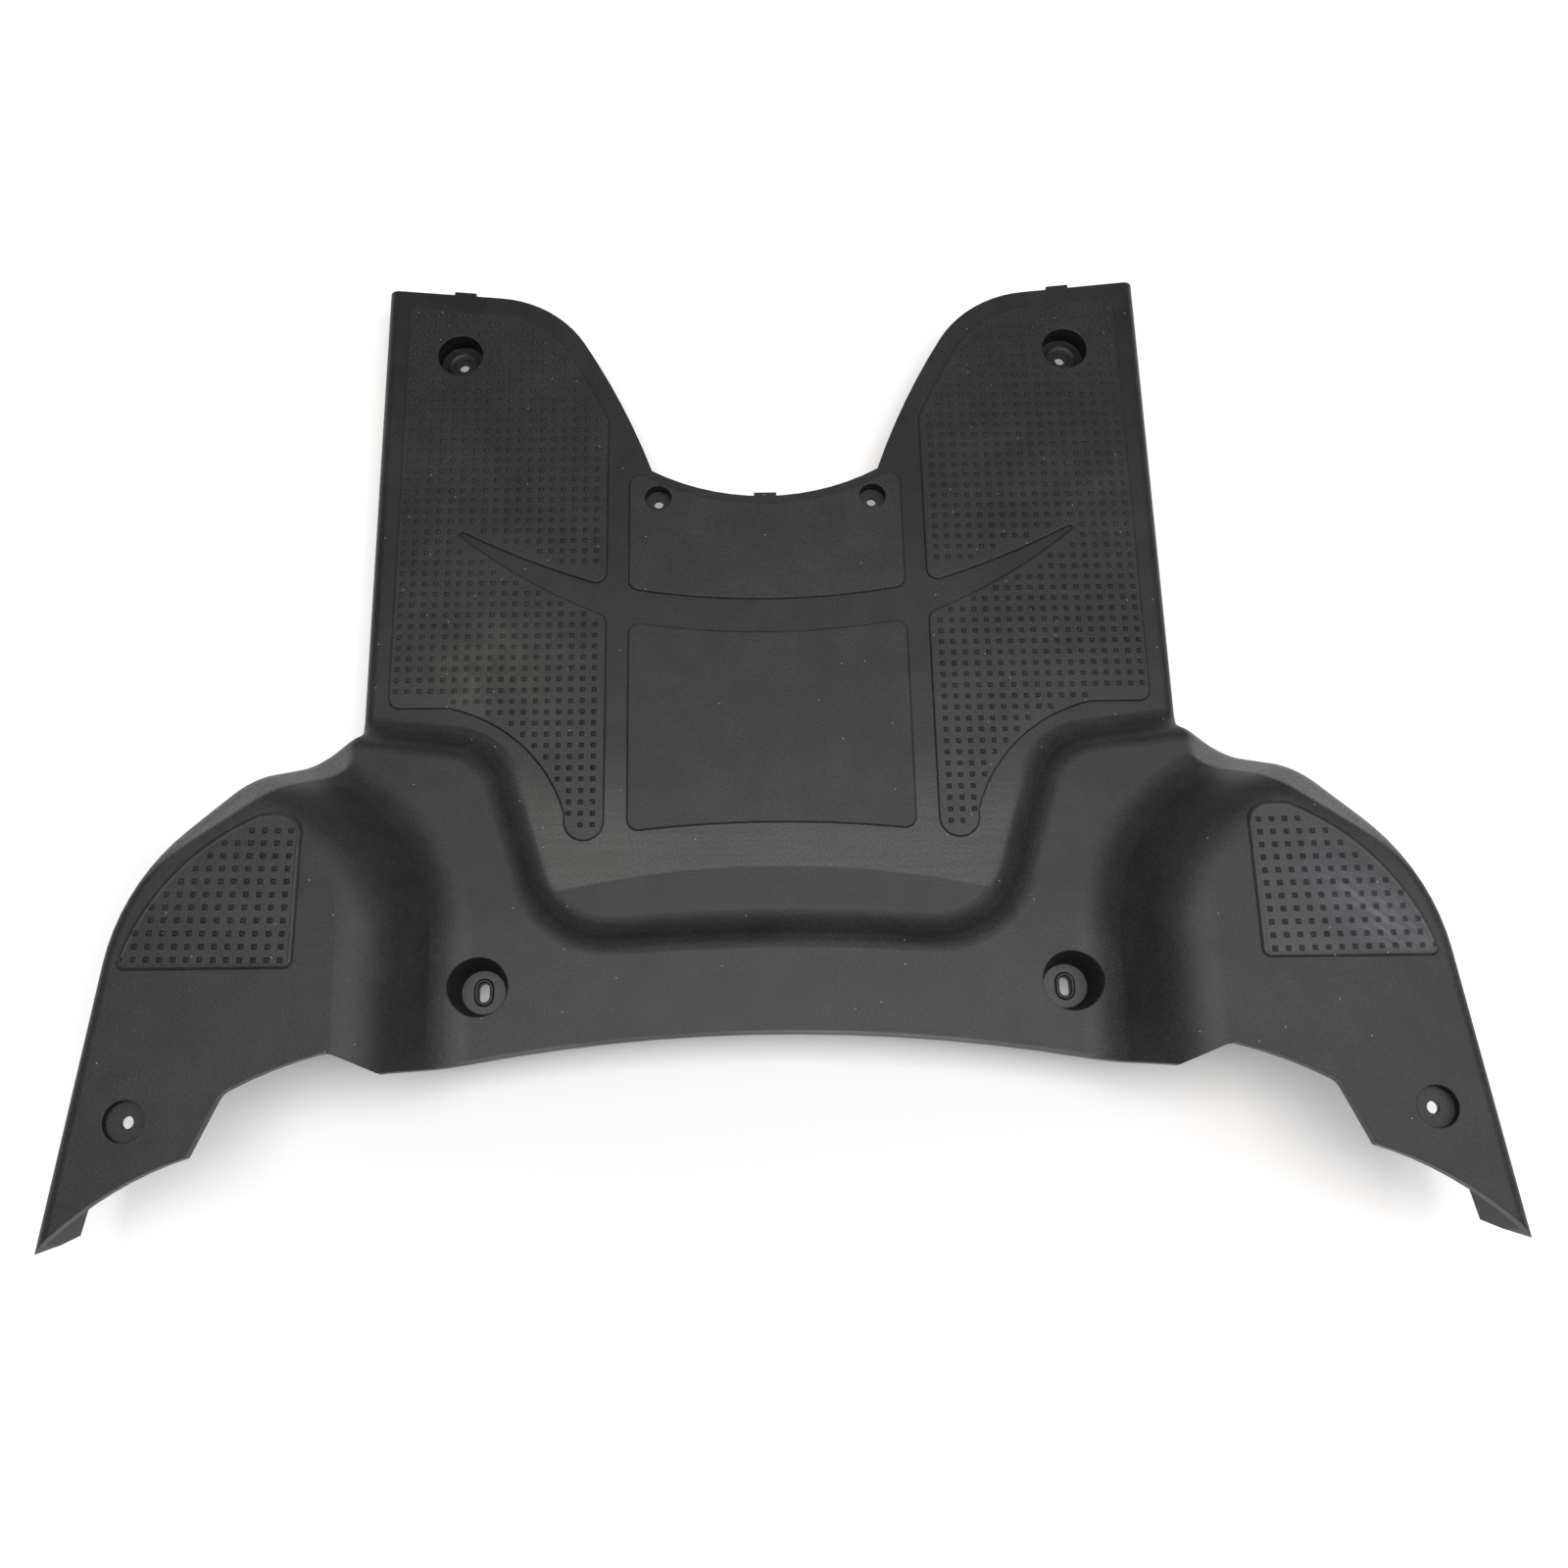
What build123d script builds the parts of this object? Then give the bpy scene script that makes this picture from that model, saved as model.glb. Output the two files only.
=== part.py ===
from build123d import *
import os
from math import radians, tan

# Scooter floorboard, moulded in one piece. Millimetres, +X to the rider's right, +Y forward, +Z up.
# The origin is under the middle of the panel, on the surface that its side skirts stand on.
# The right half is modelled and mirrored, so every x below is a distance from the centre plane.
# Places at the front are measured back from the front corners, and places at the rear ahead of the tips.

# Overall sizes
LENGTH = 428.0                  # front corners to wing tips
WALL = 2.6                      # moulded wall
FLOOR_HEIGHT = 20.0             # foot floor above the side skirts' lower edge
STEP_HEIGHT = 10.0              # rise from the foot floor to the rear platform
WING_RISE = 41.0                # rise from the foot floor to the wings

# Outline of the foot floor and its front arms
FLOOR_WIDTH = 347.0
FRONT_RAKE = 5.5                # degrees that the front edges fall back towards the middle
COLUMN_DEPTH = 108.5            # steering-column cut-out, front corners to its deepest point
COLUMN_WIDTH = 101.0            # width between the cut-out's lower corners
COLUMN_SAG = 13.0               # the lower edge sags this far between those corners
ARM_WIDTH = 77.0                # front edge of an arm, before its inner corner is rounded
ARM_BOW = 3.5                   # bow of the arm's inner edge into the cut-out
ARM_ROUND = 52.0

# Outline of a wing, followed as turns from the floor's side to the tip
NOTCH_FROM_TIP = 209.9
NOTCH_RADIUS = 7.0
NOTCH_TURN = 48.8               # degrees
LEAD_LENGTH = 70.4              # straight edge between notch and shoulder
SHOULDER_RADIUS = 84.0
SHOULDER_TURN = 41.7            # degrees

# Rear edge
HEEL_X = 217.4                  # corner between the wing's tail and its scallop
HEEL_FROM_TIP = 33.6
TAIL_BOW = 4.2
SCALLOP_X = 207.0               # outer end of the scallop
SCALLOP_FROM_TIP = 56.5
SCALLOP_BOW = 1.4
PEAK_X = 168.9                  # inner end of the scallop, where it runs furthest forward
PEAK_FROM_TIP = 71.3
SCALLOP_ROUND = 8.0
REAR_CORNER_X = 150.4           # corner of the rear edge on the slope of the bank
REAR_CORNER_FROM_TIP = 63.7
REAR_MIDDLE_FROM_TIP = 80.0

# S-shaped step between floor and platform, given along its foot
STEP_ANGLE = 50.0               # degrees above level
STEP_FOOT_RADIUS = 11.0
STEP_CREST_RADIUS = 9.0
STEP_OUTER_FROM_TIP = 212.2     # where the step meets the side of the floor
STEP_NOSE_X = 115.0
STEP_NOSE_FROM_TIP = 205.4
STEP_NOSE_ROUND = 28.0
STEP_HEEL_X = 88.2
STEP_HEEL_FROM_TIP = 122.0
STEP_HEEL_ROUND = 31.0
STEP_MIDDLE_FROM_TIP = 126.7

# Bank from the platform up to a wing: a straight run with a round front end
BANK_ANGLE = 52.0               # degrees above level
BANK_CREST_X = 155.0
BANK_TURN_RADIUS = 83.0         # half width in plan of the crest's oval front end
BANK_TURN_DEPTH = 64.2          # how far that end reaches forward
BANK_TURN_FROM_TIP = 119.0
BANK_FOOT_RADIUS = 20.0
BANK_CREST_RADIUS = 26.0

# Edges, skirts and hidden ribs
RIM_RADIUS = 5.0                # rolled upper edge of the sides
EDGE_LIP = 5.0                  # depth of the lip under the front, column and rear edges
SKIRT_BREAK_FROM_TIP = 159.0    # behind this the skirts' lower edge climbs
SKIRT_TIP_RISE = 28.0
SKIRT_TIP_RAKE = 6.5            # rear end of a skirt leans forward by this much
RIB_WIDTH = 2.0
RIB_DEPTH = 8.0
RIB_X = (66.0, 122.0)           # ribs along the floor
RIB_FROM_FRONT = (120.0, 185.0, 250.0)      # ribs across the floor, which end the others

# Locating tabs on the front edges
TAB_WIDTH = 10.0
TAB_REACH = 2.0
TAB_THICKNESS = 2.4
TAB_DROP = 0.6                  # top of a tab below the floor
TAB_X = 138.0

# Tread pads
PAD_HEIGHT = 0.9
PAD_ROUND = 4.5
TREAD_MARGIN = 9.0              # bare border between tread and the front and inner edges of an arm
TREAD_SIDE_MARGIN = 11.0        # bare border at the side
TREAD_INNER_X = 70.5
TREAD_REAR_FROM_TIP = 221.0     # rear border, at the side
TREAD_CURVE_X = 137.0           # where the rear border starts to curve towards the tail
TREAD_CURVE_MIDDLE = (107.2, 205.9)         # x and distance from the tip
TREAD_TAIL_WIDTH = 16.0
TREAD_TAIL_FROM_TIP = 162.0
TREAD_TAIL_CURVE = 11.5         # the tail's round end starts this far ahead of its end
SPEAR_TIP = (145.2, 118.2)      # bare spear between the tread's halves: x and distance from the front
SPEAR_TIP_ROUND = 1.4
SPEAR_UPPER = (110.0, 136.2)
SPEAR_LOWER = (103.3, 149.6)
SPEAR_BASE_X = 64.0
SPEAR_BASE_FROM_FRONT = (153.0, 168.5)      # upper and lower border at the base
CENTRE_PAD_WIDTH = 120.3
CENTRE_MARGIN = 4.0             # bare border at the column
CENTRE_CORNER_DROP = 2.5        # front corners of the pad behind the corners of the cut-out
CENTRE_GAP_FROM_FRONT = (152.6, 168.8)      # borders of the bare band between the pads, at the sides
CENTRE_GAP_SAG = 5.4
CENTRE_REAR_FROM_TIP = 165.6
CENTRE_REAR_RISE = 3.6
WING_PAD_X = 184.0
WING_PAD_FROM_TIP = (103.3, 162.8)          # rear and front border
WING_PAD_FRONT_X = 199.0
WING_PAD_MIDDLE = (229.0, 142.0)
WING_PAD_REAR_X = 250.0
WING_PAD_ROUND = 8.0
WING_PAD_CORNER = 2.5

# Screw cups: a round pocket with a hole in its floor, tapered where the floor has a size of its own
CUP_WALL = 2.4
FRONT_CUP_X = 138.6
FRONT_CUP_FROM_FRONT = 35.8
FRONT_CUP_RIM = 20.6
FRONT_CUP_DEPTH = 9.0
FRONT_CUP_HOLE = 4.6
FRONT_DRAIN_WIDTH = 4.0         # drain slit in the front of the cup
FRONT_DRAIN_HEIGHT = 2.0
COLUMN_CUP_X = 47.7
COLUMN_CUP_BEHIND = 0.9         # behind the deepest point of the cut-out
COLUMN_CUP_RIM = 11.9
COLUMN_CUP_DEPTH = 5.0
COLUMN_CUP_HOLE = 4.2
REAR_CUP_X = 118.3
REAR_CUP_FROM_TIP = 99.5
REAR_CUP_RIM = 24.0
REAR_CUP_FLOOR = 18.0
REAR_CUP_DEPTH = 15.0
REAR_SLOT_WIDTH = 4.6
REAR_SLOT_LENGTH = 8.0
WING_CUP_X = 241.3
WING_CUP_FROM_TIP = 46.7
WING_CUP_RIM = 15.6
WING_CUP_DEPTH = 4.0
WING_CUP_HOLE = 4.8

# Construction values
SPAN = LENGTH                   # size of construction blocks, from the middle well past the outline
APRON = 2.0                     # level strip on each side of a slope, where it joins flat ground
FUZZ = 0.001                    # tolerance for telling edges apart
ON_BASE = (Align.CENTER, Align.CENTER, Align.MIN)

FRONT_Y = LENGTH / 2
TIP_Y = -LENGTH / 2
SIDE_X = FLOOR_WIDTH / 2
PLATFORM_HEIGHT = FLOOR_HEIGHT + STEP_HEIGHT
WING_HEIGHT = FLOOR_HEIGHT + WING_RISE


def from_front(x, back):
    """Place in plan, measured back from the front corners."""
    return (x, FRONT_Y - back)


def from_tip(x, ahead):
    """Place in plan, measured ahead of the wing tips."""
    return (x, TIP_Y + ahead)


def rounded(sketch, place, radius):
    """Rounds the corner of a flat shape that lies nearest to a place."""
    return fillet(sketch.vertices().sort_by_distance((*place, 0))[0], radius)


def bowed(start, end, bow):
    """Arc whose middle stands off the straight line from start to end by bow, to the right."""
    start, end = Vector(start), Vector(end)
    along = (end - start).normalized()
    return ThreePointArc(start, (start + end) * 0.5 + Vector(along.Y, -along.X) * bow, end)


def both_halves(shape):
    """Right half joined with its mirror image."""
    return shape + mirror(shape, about=Plane.YZ)


def plan(open_ends=False):
    """Right half of the outline. With open ends only the sides are followed, far past front and rear."""
    column = from_front(0, COLUMN_DEPTH)
    column_corner = from_front(COLUMN_WIDTH / 2, COLUMN_DEPTH - COLUMN_SAG)
    arm_corner = from_front(SIDE_X - ARM_WIDTH, ARM_WIDTH * tan(radians(FRONT_RAKE)))
    front_corner = from_front(SIDE_X, 0)
    side = Line((SIDE_X, SPAN) if open_ends else front_corner, from_tip(SIDE_X, NOTCH_FROM_TIP))
    notch = JernArc(side @ 1, side % 1, NOTCH_RADIUS, NOTCH_TURN)
    lead = Line(notch @ 1, notch @ 1 + (notch % 1) * LEAD_LENGTH)
    shoulder = JernArc(lead @ 1, lead % 1, SHOULDER_RADIUS, -SHOULDER_TURN)
    heading = shoulder % 1
    end_y = -SPAN if open_ends else TIP_Y
    wing = Line(shoulder @ 1, shoulder @ 1 + heading * ((end_y - (shoulder @ 1).Y) / heading.Y))
    sides = [side, notch, lead, shoulder, wing]
    if open_ends:
        far_ends = Polyline(wing @ 1, (0, -SPAN), (0, SPAN), side @ 0)
        return Sketch() + make_face([*sides, *far_ends.edges()])
    heel = from_tip(HEEL_X, HEEL_FROM_TIP)
    scallop_end = from_tip(SCALLOP_X, SCALLOP_FROM_TIP)
    peak = from_tip(PEAK_X, PEAK_FROM_TIP)
    rear_corner = from_tip(REAR_CORNER_X, REAR_CORNER_FROM_TIP)
    middle = from_tip(0, REAR_MIDDLE_FROM_TIP)
    ends = [
        bowed(wing @ 1, heel, TAIL_BOW),
        Line(heel, scallop_end),
        bowed(scallop_end, peak, SCALLOP_BOW),
        Line(peak, rear_corner),
        TangentArc(middle, rear_corner, tangent=(1, 0)),
        Line(middle, column),
        TangentArc(column, column_corner, tangent=(1, 0)),
        bowed(arm_corner, column_corner, ARM_BOW),
        Line(arm_corner, front_corner),
    ]
    outline = Sketch() + make_face([*sides, *ends])
    outline = rounded(outline, arm_corner, ARM_ROUND)
    for corner in (scallop_end, peak):
        outline = rounded(outline, corner, SCALLOP_ROUND)
    return outline


def inner_plan(margin, open_ends=False):
    """Whole outline drawn in by a margin."""
    return offset(both_halves(plan(open_ends)), -margin)


def prism(shape):
    """A plan drawn up through all heights."""
    return Pos(0, 0, -SPAN) * extrude(shape, 2 * SPAN)


def block(low, high):
    """Construction block over the whole right half, between two heights."""
    return Pos(0, 0, low) * Box(SPAN, 2 * SPAN, high - low, align=(Align.MIN, Align.CENTER, Align.MIN))


def slope_section(x_foot, low, high, angle, foot_radius, crest_radius, inset):
    """Section of rising ground, x along it and y up: level, round foot, straight wall, round crest, level.

    Inset by the wall, the levels drop and the slope moves into the ground. There a flat across each bend,
    which touches the round that a constant wall would have, takes the place of the round.
    """
    half_turn = tan(radians(angle / 2))
    x_low = x_foot + inset * half_turn
    x_high = x_low + (high - low) / tan(radians(angle))
    foot, crest = Vector(x_low, low - inset), Vector(x_high, high - inset)
    start = Vector(x_foot - foot_radius * half_turn - APRON, foot.Y)
    end = Vector(x_high + crest_radius * half_turn + APRON, crest.Y)
    if inset:
        up, level = (crest - foot).normalized(), Vector(1, 0)
        setback = half_turn - tan(radians(angle / 4))
        foot_cut, crest_cut = (foot_radius + inset) * setback, (crest_radius - inset) * setback
        top = Polyline(start, foot - level * foot_cut, foot + up * foot_cut,
                       crest - up * crest_cut, crest + level * crest_cut, end)
    else:
        top = FilletPolyline(start, foot, crest, end, radius=(foot_radius, crest_radius))
    below = Polyline(end, (end.X, -SPAN), (start.X, -SPAN), start)
    return make_face([*top.edges(), *below.edges()])


def bank(inset):
    """Raised ground under a wing: one section, straight to the rear and turned round an oval front end."""
    x_foot = -BANK_TURN_RADIUS - (WING_RISE - STEP_HEIGHT) / tan(radians(BANK_ANGLE))
    section = Plane.XZ * slope_section(
        x_foot, PLATFORM_HEIGHT, WING_HEIGHT, BANK_ANGLE, BANK_FOOT_RADIUS, BANK_CREST_RADIUS, inset)
    straight = extrude(section, SPAN, dir=(0, -1, 0))
    level_x = section.bounding_box().max.X - APRON / 2
    height = WING_HEIGHT - inset + SPAN
    core = Pos(0, 0, -SPAN) * Cylinder(-level_x, height, align=ON_BASE)
    oval = scale(revolve(section, Axis.Z, -180) + core, by=(1, BANK_TURN_DEPTH / BANK_TURN_RADIUS, 1))
    wing = Pos(level_x, 0, -SPAN) * Box(SPAN, SPAN, height, align=(Align.MIN, Align.MAX, Align.MIN))
    centre = from_tip(BANK_CREST_X + BANK_TURN_RADIUS, BANK_TURN_FROM_TIP)
    return Pos(*centre) * (straight + oval + wing)


def step_floor():
    """Plan of the foot floor inside the foot of the step, with sides far outside the panel."""
    nose = from_tip(STEP_NOSE_X, STEP_NOSE_FROM_TIP)
    heel = from_tip(STEP_HEEL_X, STEP_HEEL_FROM_TIP)
    middle = from_tip(0, STEP_MIDDLE_FROM_TIP)
    slope = (STEP_OUTER_FROM_TIP - STEP_NOSE_FROM_TIP) / (SIDE_X - STEP_NOSE_X)
    far = (SPAN, nose[1] + slope * (SPAN - STEP_NOSE_X))
    frame = Polyline(far, (SPAN, SPAN), (0, SPAN), middle)
    line = [TangentArc(middle, heel, tangent=(1, 0)), Line(heel, nose), Line(nose, far)]
    floor = Sketch() + make_face([*line, *frame.edges()])
    floor = rounded(floor, nose, STEP_NOSE_ROUND)
    return rounded(floor, heel, STEP_HEEL_ROUND)


def step(inset):
    """Step from floor to platform: its section carried along the S-shaped line."""
    inside = Vector(SPAN - FUZZ, SPAN - FUZZ)
    line = [e for e in step_floor().edges() if FUZZ < (e @ 0.5).X < inside.X and (e @ 0.5).Y < inside.Y]
    section = slope_section(
        0, FLOOR_HEIGHT, PLATFORM_HEIGHT, STEP_ANGLE, STEP_FOOT_RADIUS, STEP_CREST_RADIUS, inset)
    start = Plane((*from_tip(0, STEP_MIDDLE_FROM_TIP), 0), x_dir=(0, -1, 0), z_dir=(-1, 0, 0))
    return sweep(start * section, path=Wire(line))


def ground(inset=0.0):
    """All that lies under the panel's upper surface, or under its inner surface when inset by the wall."""
    run = STEP_HEIGHT / tan(radians(STEP_ANGLE))
    behind = run + STEP_CREST_RADIUS * tan(radians(STEP_ANGLE / 2)) + APRON / 2
    platform = block(-SPAN, PLATFORM_HEIGHT - inset) - prism(offset(step_floor(), behind))
    return block(-SPAN, FLOOR_HEIGHT - inset) + platform + step(inset) + bank(inset)


def rolled(form):
    """Form whose upper edges are rolled over along the floor's sides, the notches and the wings' sides."""
    solid = form.solids()[0]
    rim = []
    for edge in solid.edges():
        middle = edge @ 0.5
        if middle.X < SIDE_X - FUZZ or middle.Z < FLOOR_HEIGHT - FUZZ:
            continue
        faces = [face for face in solid.faces() if face.distance_to(middle) < FUZZ]
        wall, top = sorted((face.normal_at(middle) for face in faces), key=lambda normal: abs(normal.Z))
        if abs(wall.Z) < FUZZ < abs(top.Z) and wall.X > 0:
            rim.append(edge)
    return Part() + solid.fillet(RIM_RADIUS, rim)


def skirt_trim():
    """What is cut from below, so that the skirts climb towards the wing tips and end in a rake."""
    break_y = TIP_Y + SKIRT_BREAK_FROM_TIP
    behind = TIP_Y - WALL
    shape = Polyline(
        (break_y, 0), (TIP_Y + SKIRT_TIP_RAKE, SKIRT_TIP_RISE), (TIP_Y, WING_HEIGHT - WALL),
        (behind, WING_HEIGHT - WALL), (behind, -SPAN), (break_y, -SPAN), close=True)
    return extrude(Plane.YZ * make_face(shape.edges()), SPAN)


def ribs():
    """Stiffening ribs under the foot floor, which end at the foot of the step."""
    low = FLOOR_HEIGHT - WALL - RIB_DEPTH
    rear = FRONT_Y - RIB_FROM_FRONT[-1]
    length = RIB_FROM_FRONT[-1] - RIB_FROM_FRONT[0]
    plans = [Pos(x, rear) * Rectangle(RIB_WIDTH, length, align=(Align.CENTER, Align.MIN)) for x in RIB_X]
    for back in RIB_FROM_FRONT:
        across = Rectangle(SPAN, RIB_WIDTH, align=(Align.MIN, Align.CENTER))
        plans.append(Pos(*from_front(0, back)) * across)
    floor = step_floor()
    return [Pos(0, 0, low) * extrude(shape & floor, WALL + RIB_DEPTH) for shape in plans]


def cup(place, top, rim, depth, hole=None, floor=None):
    """Screw cup at a place: the square boss that carries it, and what is cut out of it."""
    width = rim + 2 * CUP_WALL
    boss = Pos(0, 0, -depth - CUP_WALL) * Box(width, width, 2 * depth + CUP_WALL, align=ON_BASE)
    if floor:
        cone = Pos(0, 0, -depth) * Cone(floor / 2, rim / 2, depth, align=ON_BASE)
        cut = cone + Cylinder(rim / 2, depth, align=ON_BASE)
    else:
        cut = Cylinder(rim / 2, 2 * depth)
    if hole:
        cut = cut + Cylinder(hole / 2, 2 * (depth + CUP_WALL) + hole)
    return Pos(*place, top) * boss, Pos(*place, top) * cut


def cups():
    """Bosses of all the screw cups, and all that is cut out of them."""
    front = from_front(FRONT_CUP_X, FRONT_CUP_FROM_FRONT)
    rear = from_tip(REAR_CUP_X, REAR_CUP_FROM_TIP)
    made = [
        cup(front, FLOOR_HEIGHT, FRONT_CUP_RIM, FRONT_CUP_DEPTH, hole=FRONT_CUP_HOLE),
        cup(from_front(COLUMN_CUP_X, COLUMN_DEPTH + COLUMN_CUP_BEHIND), FLOOR_HEIGHT,
            COLUMN_CUP_RIM, COLUMN_CUP_DEPTH, hole=COLUMN_CUP_HOLE),
        cup(rear, PLATFORM_HEIGHT, REAR_CUP_RIM, REAR_CUP_DEPTH, floor=REAR_CUP_FLOOR),
        cup(from_tip(WING_CUP_X, WING_CUP_FROM_TIP), WING_HEIGHT,
            WING_CUP_RIM, WING_CUP_DEPTH, hole=WING_CUP_HOLE),
    ]
    drain = Pos(front[0], front[1] + FRONT_CUP_RIM / 2, FLOOR_HEIGHT - FRONT_CUP_DEPTH) * Box(
        FRONT_DRAIN_WIDTH, 4 * CUP_WALL, FRONT_DRAIN_HEIGHT, align=ON_BASE)
    slot = Pos(*rear, PLATFORM_HEIGHT - REAR_CUP_DEPTH) * Rot(0, 0, 90) * extrude(
        SlotOverall(REAR_SLOT_LENGTH, REAR_SLOT_WIDTH), 2 * CUP_WALL, both=True)
    bosses = [boss for boss, cut in made]
    cuts = [cut for boss, cut in made] + [drain, slot]
    return bosses, cuts


def tread_pad():
    """Studded pad of one foot: the floor's outline drawn in, a curved tail, and a bare spear let in."""
    side_x = SIDE_X - TREAD_SIDE_MARGIN
    side = from_tip(side_x, TREAD_REAR_FROM_TIP)
    curve_start = from_tip(TREAD_CURVE_X, TREAD_REAR_FROM_TIP)
    tail_x = TREAD_INNER_X + TREAD_TAIL_WIDTH
    tail_top = from_tip(tail_x, TREAD_TAIL_FROM_TIP + TREAD_TAIL_CURVE)
    tail_end = from_tip(tail_x, TREAD_TAIL_FROM_TIP)
    tail_inner = from_tip(TREAD_INNER_X, TREAD_TAIL_FROM_TIP)
    border = Polyline(
        tail_top, tail_end, tail_inner, (TREAD_INNER_X, FRONT_Y), (side_x, FRONT_Y), side, curve_start)
    curve = ThreePointArc(curve_start, from_tip(*TREAD_CURVE_MIDDLE), tail_top)
    pad = Sketch() + make_face([curve, *border.edges()])
    pad = pad & inner_plan(TREAD_MARGIN)
    tip = from_front(*SPEAR_TIP)
    upper_end, lower_end = (from_front(SPEAR_BASE_X, back) for back in SPEAR_BASE_FROM_FRONT)
    spear = Sketch() + make_face([
        ThreePointArc(tip, from_front(*SPEAR_UPPER), upper_end),
        Line(upper_end, lower_end),
        ThreePointArc(lower_end, from_front(*SPEAR_LOWER), tip),
    ])
    pad = pad - rounded(spear, tip, SPEAR_TIP_ROUND)
    pad = rounded(pad, tail_end, TREAD_TAIL_WIDTH / 2 - FUZZ)
    pad = rounded(pad, tail_inner, TREAD_TAIL_WIDTH / 2 - FUZZ)
    for corner in (upper_end, lower_end, side):
        pad = rounded(pad, corner, PAD_ROUND)
    return pad


def centre_pads():
    """Right halves of the two plain pads between the treads."""
    half = CENTRE_PAD_WIDTH / 2

    def pad(front_edge, rear_edge):
        sides = [Line(front_edge @ 0, rear_edge @ 0), Line(front_edge @ 1, rear_edge @ 1)]
        return Sketch() + make_face([front_edge, rear_edge, *sides])

    def border(place_middle, place_side):
        return TangentArc(place_middle, place_side, tangent=(1, 0))

    corner_back = COLUMN_DEPTH - COLUMN_SAG + CENTRE_CORNER_DROP
    top = Line(from_front(0, corner_back), from_front(half, corner_back))
    band_front, band_rear = (
        border(from_front(0, back + CENTRE_GAP_SAG), from_front(half, back))
        for back in CENTRE_GAP_FROM_FRONT)
    bottom = border(
        from_tip(0, CENTRE_REAR_FROM_TIP + CENTRE_REAR_RISE), from_tip(half, CENTRE_REAR_FROM_TIP))
    front = pad(top, band_front) & inner_plan(CENTRE_MARGIN)
    front = rounded(rounded(front, (half, (top @ 1).Y), PAD_ROUND), (half, (band_front @ 1).Y), PAD_ROUND)
    rear = pad(band_rear, bottom)
    rear = rounded(rounded(rear, (half, (band_rear @ 1).Y), PAD_ROUND), (half, (bottom @ 1).Y), PAD_ROUND)
    return [front, rear]


def wing_pad():
    """Studded pad of the passenger's foot."""
    rear, front = WING_PAD_FROM_TIP
    inner_rear, inner_front = from_tip(WING_PAD_X, rear), from_tip(WING_PAD_X, front)
    outer_rear, outer_front = from_tip(WING_PAD_REAR_X, rear), from_tip(WING_PAD_FRONT_X, front)
    sides = Polyline(outer_rear, inner_rear, inner_front, outer_front)
    outside = ThreePointArc(outer_front, from_tip(*WING_PAD_MIDDLE), outer_rear)
    pad = Sketch() + make_face([outside, *sides.edges()])
    pad = rounded(pad, inner_front, WING_PAD_ROUND)
    for corner in (inner_rear, outer_rear):
        pad = rounded(pad, corner, WING_PAD_CORNER)
    return pad


def raised(pad, level):
    """Pad standing on the panel at a level, rooted in the wall."""
    return Pos(0, 0, level - WALL / 2) * extrude(pad, WALL / 2 + PAD_HEIGHT)


def tabs():
    """Locating tabs on the front edge of the arm and in the middle of the column cut-out."""
    shape = Box(TAB_WIDTH, 2 * TAB_REACH, TAB_THICKNESS, align=(Align.CENTER, Align.CENTER, Align.MAX))
    top = FLOOR_HEIGHT - TAB_DROP
    edge_back = (SIDE_X - TAB_X) * tan(radians(FRONT_RAKE))
    arm = Pos(*from_front(TAB_X, edge_back), top) * Rot(0, 0, FRONT_RAKE) * shape
    column = Pos(*from_front(0, COLUMN_DEPTH), top) * shape
    return [arm, column & block(0, WING_HEIGHT)]


def floorboard():
    """The whole panel: outer form, hollow from below, with cups, ribs, pads and tabs."""
    outer = rolled(ground() & extrude(plan(), SPAN))
    hollow = ground(WALL) & prism(inner_plan(WALL))
    below_lip = (Pos(0, 0, -EDGE_LIP) * ground()) & prism(inner_plan(WALL, open_ends=True))
    bosses, cuts = cups()
    hollow = hollow + below_lip - bosses - ribs()
    half = outer - skirt_trim() - hollow
    half = half + raised(tread_pad(), FLOOR_HEIGHT) + raised(wing_pad(), WING_HEIGHT)
    for pad in centre_pads():
        half = half + raised(pad, FLOOR_HEIGHT)
    half = half + tabs() - cuts
    return both_halves(half)


part = floorboard()
os.makedirs("parts", exist_ok=True)
export_step(part, os.path.join("parts", "floorboard.step"))
print("solids", len(part.solids()), "volume", round(part.volume), "size", part.bounding_box().size)
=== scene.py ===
# %% [markdown]
# # Scooter floorboard
# A black moulded panel with treaded foot rests, laid on a white table and seen from above its rear edge.
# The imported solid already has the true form, so it stays, and this lesson gives it its finish, its studs
# and the light of the photograph. Everything is in metres: +X to the right, +Y to the front, +Z up.

# %% Load the fixed frame
import math
from types import SimpleNamespace
import bpy
import numpy as np
from mathutils import Matrix, Vector


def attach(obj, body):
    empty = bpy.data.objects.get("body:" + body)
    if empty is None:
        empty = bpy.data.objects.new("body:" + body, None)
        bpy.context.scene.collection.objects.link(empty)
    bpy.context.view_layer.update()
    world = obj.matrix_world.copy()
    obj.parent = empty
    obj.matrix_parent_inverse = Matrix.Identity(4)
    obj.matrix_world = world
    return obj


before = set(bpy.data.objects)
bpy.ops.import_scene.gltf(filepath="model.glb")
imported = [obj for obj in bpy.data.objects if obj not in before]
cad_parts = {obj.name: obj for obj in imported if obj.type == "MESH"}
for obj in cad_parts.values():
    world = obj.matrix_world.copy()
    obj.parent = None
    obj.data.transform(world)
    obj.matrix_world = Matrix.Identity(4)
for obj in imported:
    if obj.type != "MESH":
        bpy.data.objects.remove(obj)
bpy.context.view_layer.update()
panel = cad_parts["floorboard"]
scene = bpy.context.scene
MM = 0.001

# %% [markdown]
# ## Camera
# The camera was held almost straight above the rear edge and tipped forwards. It could be set by eye, but
# then the edges would miss their places in the picture. Its place, tilt and lens come instead from
# matching the panel's mirrored corners with the picture.

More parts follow.
